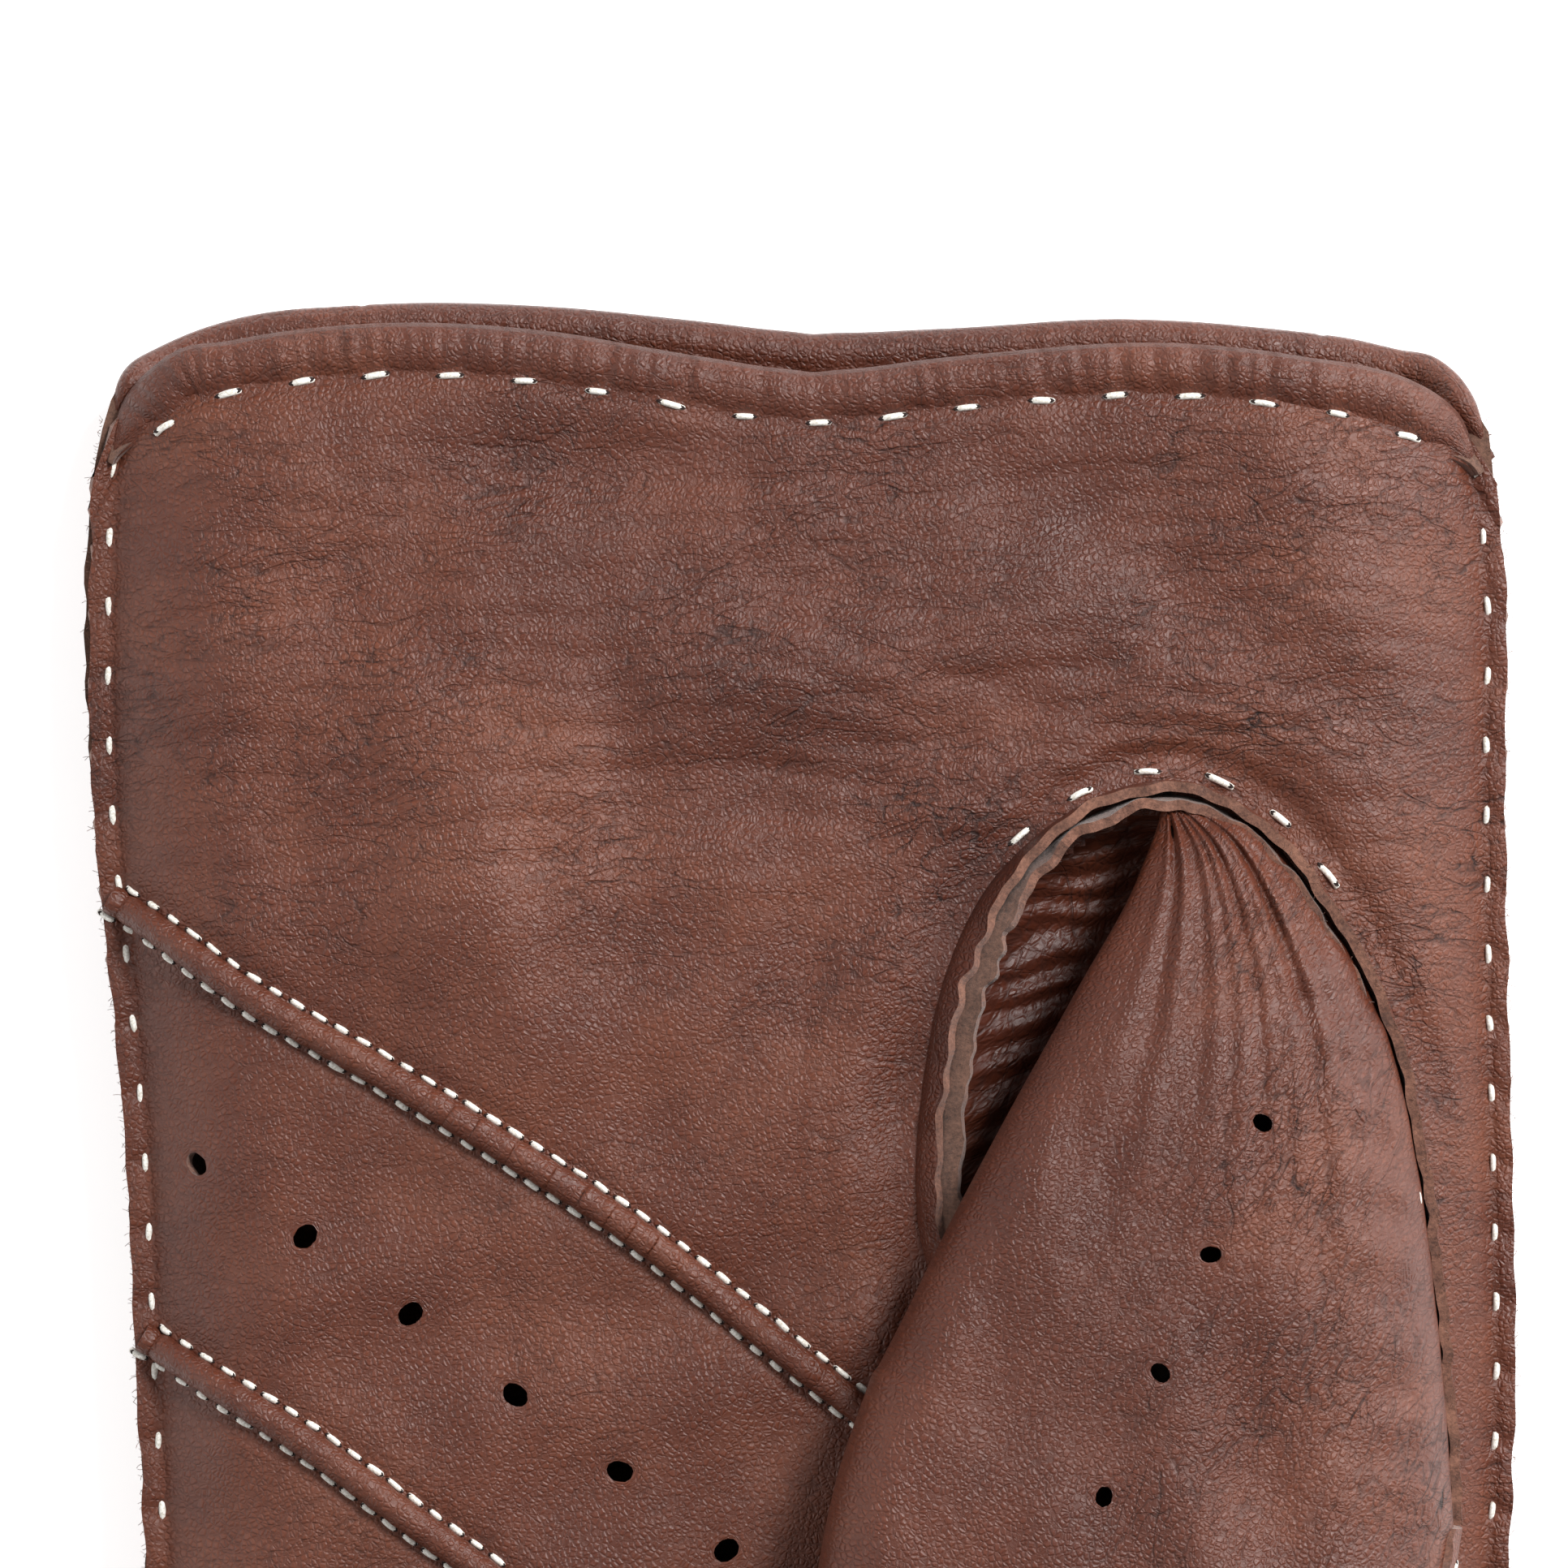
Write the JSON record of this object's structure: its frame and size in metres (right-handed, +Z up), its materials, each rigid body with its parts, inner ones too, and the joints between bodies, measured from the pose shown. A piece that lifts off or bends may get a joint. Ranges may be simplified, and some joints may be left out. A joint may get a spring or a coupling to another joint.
{
  "type": "leather driving glove",
  "caption": "Left-hand leather driving glove lying palm up, with raised palm welts, punched air holes, outseams and a thumb folded over the palm.",
  "frame": {"origin": "centre of the glove's footprint, on the surface it lies on, with the back of the hand down", "axes": "+X across the hand towards the index finger, +Y along the hand towards the cuff, +Z up out of the palm"},
  "size_m": [0.11, 0.234, 0.0271],
  "materials": {
    "deerskin": "smooth chestnut-brown grain leather",
    "deerskin_edge": "greyish brown suede cut edge and flesh side",
    "sewing_thread": "off-white cotton thread"
  },
  "bodies": {
    "hand": {"back_panel": "deerskin", "palm_panel": "deerskin", "palm_cuff_binding": "deerskin", "back_cuff_binding": "deerskin", "palm_cuff_thread": "sewing_thread", "back_cuff_thread": "sewing_thread", "index_side_thread": "sewing_thread", "little_side_thread": "sewing_thread", "upper_palm_welt": "deerskin", "lower_palm_welt": "deerskin", "upper_welt_threads": "sewing_thread", "lower_welt_threads": "sewing_thread", "back_point_index": "deerskin", "back_point_middle": "deerskin", "back_point_little": "deerskin", "back_point_threads": "sewing_thread", "index_middle_crotch": "deerskin", "middle_ring_crotch": "deerskin", "ring_little_crotch": "deerskin", "thumb_base": "deerskin", "thumb_seam_thread": "sewing_thread"},
    "thumb": {"thumb_front": "deerskin", "thumb_back": "deerskin", "thumb_thread": "sewing_thread"},
    "index_finger": {"index_front_lower": "deerskin", "index_back_lower": "deerskin", "index_fourchette_lower": "deerskin", "index_thread_lower": "sewing_thread"},
    "index_fingertip": {"index_front_tip": "deerskin", "index_back_tip": "deerskin", "index_fourchette_tip": "deerskin", "index_thread_tip": "sewing_thread"},
    "middle_finger": {"middle_front_lower": "deerskin", "middle_back_lower": "deerskin", "middle_fourchettes_lower": "deerskin", "middle_thread_lower": "sewing_thread"},
    "middle_fingertip": {"middle_front_tip": "deerskin", "middle_back_tip": "deerskin", "middle_fourchettes_tip": "deerskin", "middle_thread_tip": "sewing_thread"},
    "ring_finger": {"ring_front_lower": "deerskin", "ring_back_lower": "deerskin", "ring_fourchettes_lower": "deerskin", "ring_thread_lower": "sewing_thread"},
    "ring_fingertip": {"ring_front_tip": "deerskin", "ring_back_tip": "deerskin", "ring_fourchettes_tip": "deerskin", "ring_thread_tip": "sewing_thread"},
    "little_finger": {"little_front_lower": "deerskin", "little_back_lower": "deerskin", "little_fourchette_lower": "deerskin", "little_thread_lower": "sewing_thread"},
    "little_fingertip": {"little_front_tip": "deerskin", "little_back_tip": "deerskin", "little_fourchette_tip": "deerskin", "little_thread_tip": "sewing_thread"}
  },
  "joints": [
    {"name": "index_base_curl", "type": "hinge", "parent": "hand", "child": "index_finger", "pos_m": [0.0398, -0.045, 0.0105], "axis": [-1, 0, 0], "range_deg": [0, 60]},
    {"name": "index_mid_curl", "type": "hinge", "parent": "index_finger", "child": "index_fingertip", "pos_m": [0.0398, -0.06794, 0.0105], "axis": [-1, 0, 0], "range_deg": [0, 70]},
    {"name": "middle_base_curl", "type": "hinge", "parent": "hand", "child": "middle_finger", "pos_m": [0.0116, -0.045, 0.0105], "axis": [-1, 0, 0], "range_deg": [0, 60]},
    {"name": "middle_mid_curl", "type": "hinge", "parent": "middle_finger", "child": "middle_fingertip", "pos_m": [0.0116, -0.07164, 0.0105], "axis": [-1, 0, 0], "range_deg": [0, 70]},
    {"name": "ring_base_curl", "type": "hinge", "parent": "hand", "child": "ring_finger", "pos_m": [-0.0161, -0.045, 0.0105], "axis": [-1, 0, 0], "range_deg": [0, 60]},
    {"name": "ring_mid_curl", "type": "hinge", "parent": "ring_finger", "child": "ring_fingertip", "pos_m": [-0.0161, -0.06905, 0.0105], "axis": [-1, 0, 0], "range_deg": [0, 70]},
    {"name": "little_base_curl", "type": "hinge", "parent": "hand", "child": "little_finger", "pos_m": [-0.0418, -0.045, 0.0105], "axis": [-1, 0, 0], "range_deg": [0, 60]},
    {"name": "little_mid_curl", "type": "hinge", "parent": "little_finger", "child": "little_fingertip", "pos_m": [-0.0418, -0.06276, 0.0105], "axis": [-1, 0, 0], "range_deg": [0, 70]},
    {"name": "thumb_lift", "type": "hinge", "parent": "hand", "child": "thumb", "pos_m": [0.02533, 0.02, 0.0233], "axis": [-0.9613, 0.2756, 0], "range_deg": [0, 60]}
  ]
}
